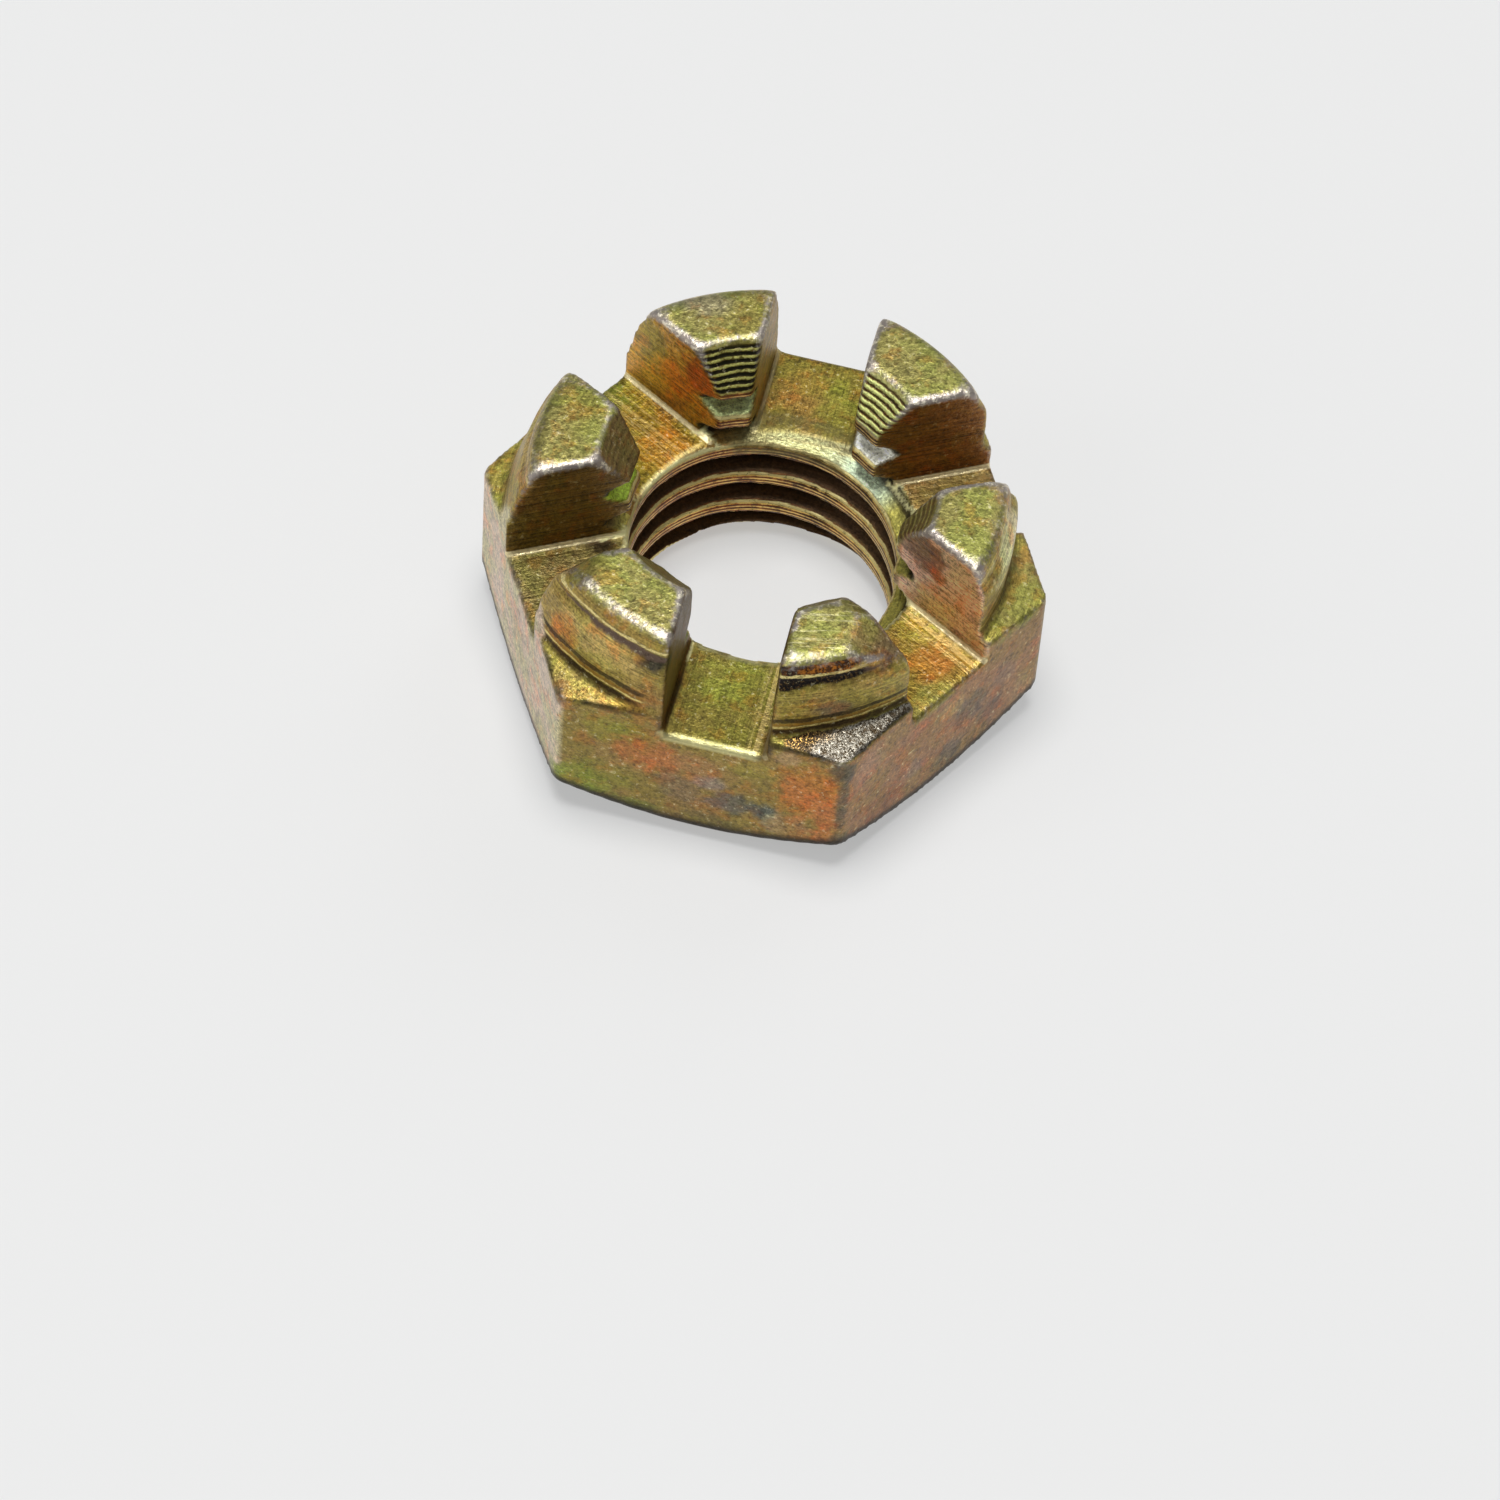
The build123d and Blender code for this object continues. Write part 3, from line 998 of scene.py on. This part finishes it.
        # broken painted highlights on the ridges of the rings
        broken = ripple + stray(self.speck, 3.0) + stray(self.drift, 2.0) + (1.0 - light) * 0.2
        self.lay(rings * self.step(broken, 0.15, 0.6), self.mix(light, "ring gold", "ring pale"))
        return ripple

    def flank(self, to_right, in_teeth):
        """Painted light on the upper flanks of the thread: pale where they face up, brown low in
        the bore where shade falls, greener and barer inside the teeth.
        """
        z, bearing = self.z, self.bearing
        flank = self.mix(to_right, "flank left", "flank right")
        mint = self.mix(self.step(bearing, 0.9, 0.65), "flank mint", "flank olive")
        flank = self.mix(self.step(bearing, 1.45, 1.1), flank, mint)
        flank = self.mix(self.step(z, 4.2, 5.2), "flank low", flank)
        green = self.mix(self.step(z, 6.8, 7.2), "tooth flank brown", "tooth flank green")
        bare = self.mix(self.step(abs(bearing), 2.4, 2.6), "tooth flank pale", green)
        bare = self.mix(self.mark("ring_light"), bare, "tooth flank bare")
        return self.mix(in_teeth, flank, bare)

    def thread(self):
        """Painted light and shade on the thread: pale lit upper flanks, coppery crests with fine
        lines of painted highlight and shade and a painted highlight along their edge, and roots
        darkened with painted shade and dirt.
        """
        thread, bearing = self.mark("thread"), self.bearing
        helix = (self.z - CREST_HEIGHT) / PITCH
        helix = helix - (bearing - math.radians(CREST_BEARING)) / (2 * math.pi)
        phase = helix - self.calc("ROUND", helix)
        wavy = phase + stray(self.fine, 0.04) + stray(self.drift, 0.05)
        to_right = self.step(bearing, 2.2, 1.6)
        far_right = self.step(bearing, 1.4, 0.6)
        in_teeth = self.step(self.z, 6.1, 6.4) * self.step(abs(bearing), 0.55, 0.7)
        flank = self.flank(to_right, in_teeth)
        # painted light on the upper flanks
        self.lay(thread * self.step(phase, FLANK_START, FLANK_START + 0.06),
                 self.times(flank, self.shade))
        crest = thread * self.step(wavy, -CREST_HALF, 0.05 - CREST_HALF)
        crest = crest * self.step(wavy, CREST_HALF, CREST_HALF - 0.05)
        copper = self.mix(self.step(self.drift, 0.4, 0.6), "copper dark", "copper")
        copper = self.mix(to_right, "copper bright", copper)
        copper = self.mix(far_right * 0.6, copper, "copper gold")
        self.lay(crest, self.times(copper, self.shade))
        # fine gold and brown lines on the crests: painted highlight and shade
        lines = self.calc("SINE", wavy * CREST_LINES)
        lines = lines + stray(self.flake, 1.2) + stray(self.drift, 2.0)
        self.lay(crest * self.step(lines, 0.5 - far_right * 0.5, 0.9) * 0.95, "crest gold")
        self.lay(crest * self.step(lines, -0.3, -0.8) * 0.85, "crest brown")
        # painted highlight along the crest's upper edge
        self.lay(thread * self.line(wavy, CREST_EDGE, 0.03), "crest edge")
        # roots darkened with painted shade and dirt, darkest inside the teeth
        above = self.step(phase, 0.0, FLANK_START) * in_teeth * 0.12
        root = self.step(abs(phase) - above, ROOT_START, ROOT_START + 0.08)
        self.lay(thread * root * 0.92, self.mix(in_teeth, "root", "root in teeth"))

    def crown_burn_and_groove_light(self):
        """A burnt band, and painted shade and highlights round the outside of the crown: a dark
        band in the upper groove, a gold line on the ridge above it, and dark and pale lines low
        down.
        """
        groove_black, groove_dark = self.mark("groove_black"), self.mark("groove_dark")
        level = self.z + stray(self.drift, 0.3) + stray(self.fine, 0.06)
        burnt = self.mix(self.step(self.blotch + stray(self.dust, 0.6), 0.42, 0.66),
                         "burnt dark", "burnt orange")
        burnt = self.mix(groove_black, burnt, "burnt black")
        ember = self.mark("ember") * 0.36 - abs(level - EMBER_HEIGHT) + stray(self.flake, 0.24)
        self.lay(self.step(ember, 0.0, 0.14), burnt)
        # painted shade in the upper groove of the crown
        groove_shade = self.mix(self.step(self.dust, 0.5, 0.7), "groove_black", "soot brown")
        groove_shade = self.mix(self.step(groove_dark, 0.8, 0.6), groove_shade, "soot thin")
        band = groove_dark * (0.22 + groove_black * 0.2) - abs(level - GROOVE_HEIGHT)
        self.lay(self.step(band + stray(self.flake, 0.16), 0.0, 0.12), groove_shade)
        # painted highlight along the ridge above the groove
        gold = self.mark("top_gold") * self.line(level, GOLD_LINE_HEIGHT, 0.1)
        self.lay(gold * self.broken_up, "turned gold")
        # painted shade in the fine grooves low on the crown, and painted highlights on their
        # ridges
        for height, half, strength, name in LOW_LINES:
            if strength == "ragged":
                strength = self.broken_up
            self.lay(self.mark("low_lines") * self.line(level, height, half) * strength, name)

    def pits_and_sparkle(self):
        """Pits, pale flecks of painted sparkle highlight, glitter of bare metal on the ledge and
        the tops, and scratches.
        """
        self.lay(self.step(self.speck, 0.56, 0.7) * 0.45, "pit")
        # painted highlight: pale sparkle flecks, none on the thread
        sparkle = self.step(self.flake - self.mark("thread"), 0.6, 0.72)
        self.lay(sparkle * (0.7 - self.mark("cut") * 0.35), "sparkle")
        silver = self.mix(self.step(self.glimmer, 0.36, 0.66), "silver dark", "silver")
        gold = self.mix(self.step(self.glimmer, 0.52, 0.62), "gold dark", "gold")
        inward = self.y * 0.87 - self.x * 0.5 + stray(self.drift, 1.4)
        side = self.x * 0.7 - inward * 0.5 + stray(self.drift, 2.0)
        silver = self.mix(self.step(side, 8.4, 7.6), silver, gold)
        pits = self.step(self.flake + stray(self.glimmer, 1.4), 0.44, 0.32)
        silver = self.mix(pits, silver, "silver pit")
        dirt = self.step(self.blotch + stray(self.dust, 0.5), 0.5, 0.4) * 0.8
        silver = self.mix(dirt, silver, "silver dirt")
        self.lay(self.step(self.mark("glitter") + stray(self.drift, 0.6), 0.35, 0.75), silver)
        along = self.x * 0.97 + self.y * 0.24
        across = self.y * 0.97 - self.x * 0.24
        row = self.node("CombineXYZ", {0: along * 0.25, 1: across * 5.0})
        scrape = self.step(self.noise(row, 1.0, 2.0, 0.6, (9, 2, 4)), 0.58, 0.66)
        self.lay(self.mark("scratches") * scrape * 0.5, "scratch")

    def wear(self):
        """Edges worn to the bare metal with a painted highlight on the front shoulders, a dark
        lower rim that is painted shadow above the chamfer, and dirt with painted shade in the
        corners.
        """
        # bare worn metal on the edges, and a painted highlight on the front shoulders
        wear_and_shoulder_highlight = self.mark("wear") * (1.0 - self.mark("thread")) + self.mark("shoulder") * 0.45
        rub_and_shoulder_highlight = self.step(wear_and_shoulder_highlight + stray(self.drift, 0.7) + stray(self.speck, 0.8), 0.2, 0.9)
        self.lay(rub_and_shoulder_highlight * 0.9, self.mix(self.step(self.flake, 0.5, 0.62), "worn grey", "worn white"))
        # dark rim, mostly painted shadow just above the bottom chamfer
        self.lay(self.mark("rim"), "rim")
        # dirt and painted shade in the hollows
        dirt = self.step(self.mark("hollow") + stray(self.drift, 0.5), 0.25, 0.9)
        self.lay(dirt * 0.8, "dirt")

    def bright_lines(self):
        """Painted highlights: bright foot lines of the slot walls and pale glints and rims of the
        slot floors; and painted shade under the back rim.
        """
        beside = abs(self.mark("aside")) - (SLOT_WIDTH / 2 - 0.05)
        lift = self.z - (SLOT_FLOOR + 0.06)
        near = self.step(self.length(beside, lift), 0.16, 0.08)
        # painted highlight line along the foot of the walls
        self.lay(self.mark("foot") * near * (0.75 + self.ragged * 0.25), "foot line")
        at_back = self.step(abs(self.bearing - BACK_BEARING), 0.5, 0.36)
        pale = self.mix(at_back, "edge pale", "edge dull")
        # painted highlight on the floor edges and rims, duller at the back
        self.lay(self.mark("glint"), pale)
        self.lay(self.mark("lip") * self.step(self.drift, 0.36, 0.5), pale)
        # painted shade under the back rim
        shade = at_back * self.step(self.length(self.x, self.y), 6.7, 6.4)
        shade = shade * self.step(self.z, 5.1, 5.25) * self.step(self.z, 6.1, 6.0)
        self.lay(shade * (0.35 + self.ragged * 0.3), "rim shade")


nut = castle_nut()
mark_points(nut)
nut.data.transform(Matrix.Scale(MM, 4))
nut.data.polygons.foreach_set("use_smooth", [True] * len(nut.data.polygons))
nut.data.materials.clear()
nut.data.materials.append(Chromate().material)

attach(nut, "root")
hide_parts("castle_nut")


# Stage, in metres.

FLOOR_SIZE = 3.0
FLOOR_GREY = (0.79, 0.79, 0.787, 1)
PAPER_GREY = (0.82, 0.823, 0.818, 1)
STUDIO_GREY = (0.9, 0.92, 0.95, 1)
STUDIO_STRENGTH = 0.19

# soft lights, all aimed at the nut: watts and place
LIGHT_WIDTH = 0.3
LIGHTS = {
    "softbox_above": (2.95, (-0.03, 0.0, 0.6)),
    "softbox_left": (0.33, (-0.33, -0.26, 0.32)),
    "softbox_back": (0.26, (0.14, 0.36, 0.36)),
}

# the photo's camera: degrees, millimetres of lens and sensor, and metres
CAMERA_AZIMUTH = 10.276
CAMERA_ELEVATION = 54.244
CAMERA_ROLL = 4.743
CAMERA_LENS = 171.46
CAMERA_SENSOR = 36.0
CAMERA_PLACE = (0.0292621, -0.1606583, 0.2196524)


def pale_floor():
    """Matt pale floor that keeps the shadow of the nut."""
    bm = bmesh.new()
    bmesh.ops.create_grid(bm, x_segments=1, y_segments=1, size=FLOOR_SIZE)
    floor = new_object("floor", bm)
    paper = Paint("pale_paper")
    paper.shader.inputs["Base Color"].default_value = FLOOR_GREY
    paper.shader.inputs["Roughness"].default_value = 0.6
    # half of what the camera and the metal see is plain pale paper, so the shadow stays light
    seen = paper.node("LightPath")
    camera, glossy = paper.outputs(seen, "Is Camera Ray", "Is Glossy Ray")
    plain = paper.node("Emission", {"Color": PAPER_GREY})
    lit = Wire(paper, paper.shader.outputs[0])
    both = paper.node("MixShader", {0: (camera + glossy) * 0.5, 1: lit, 2: plain})
    paper.feed(paper.tree.nodes["Material Output"].inputs["Surface"], both)
    floor.data.materials.append(paper.material)


def soft_light(name, power, place):
    """Round soft light, aimed at the nut."""
    data = bpy.data.lights.new(name, "AREA")
    data.shape = "DISK"
    data.size = LIGHT_WIDTH
    data.energy = power
    lamp = bpy.data.objects.new(name, data)
    bpy.context.scene.collection.objects.link(lamp)
    lamp.location = place
    lamp.rotation_euler = (-Vector(place)).to_track_quat("-Z", "Y").to_euler()


def studio_light():
    """Even pale light from all round."""
    world = bpy.data.worlds.new("studio")
    bpy.context.scene.world = world
    world.use_nodes = True
    around = world.node_tree.nodes["Background"]
    around.inputs["Color"].default_value = STUDIO_GREY
    around.inputs["Strength"].default_value = STUDIO_STRENGTH


def photo_camera():
    """Camera where the photo was taken from."""
    data = bpy.data.cameras.new("photo_camera")
    data.sensor_width = CAMERA_SENSOR
    data.lens = CAMERA_LENS
    data.clip_start = 0.01
    camera = bpy.data.objects.new("photo_camera", data)
    bpy.context.scene.collection.objects.link(camera)
    pose = Matrix.Translation(CAMERA_PLACE)
    for degrees, axis in ((CAMERA_AZIMUTH, "Z"), (90 - CAMERA_ELEVATION, "X"), (CAMERA_ROLL, "Z")):
        pose = pose @ Matrix.Rotation(math.radians(degrees), 4, axis)
    camera.matrix_world = pose
    bpy.context.scene.camera = camera


pale_floor()
for name, (power, place) in LIGHTS.items():
    soft_light(name, power, place)
studio_light()
photo_camera()
bpy.context.scene.view_settings.view_transform = "Standard"
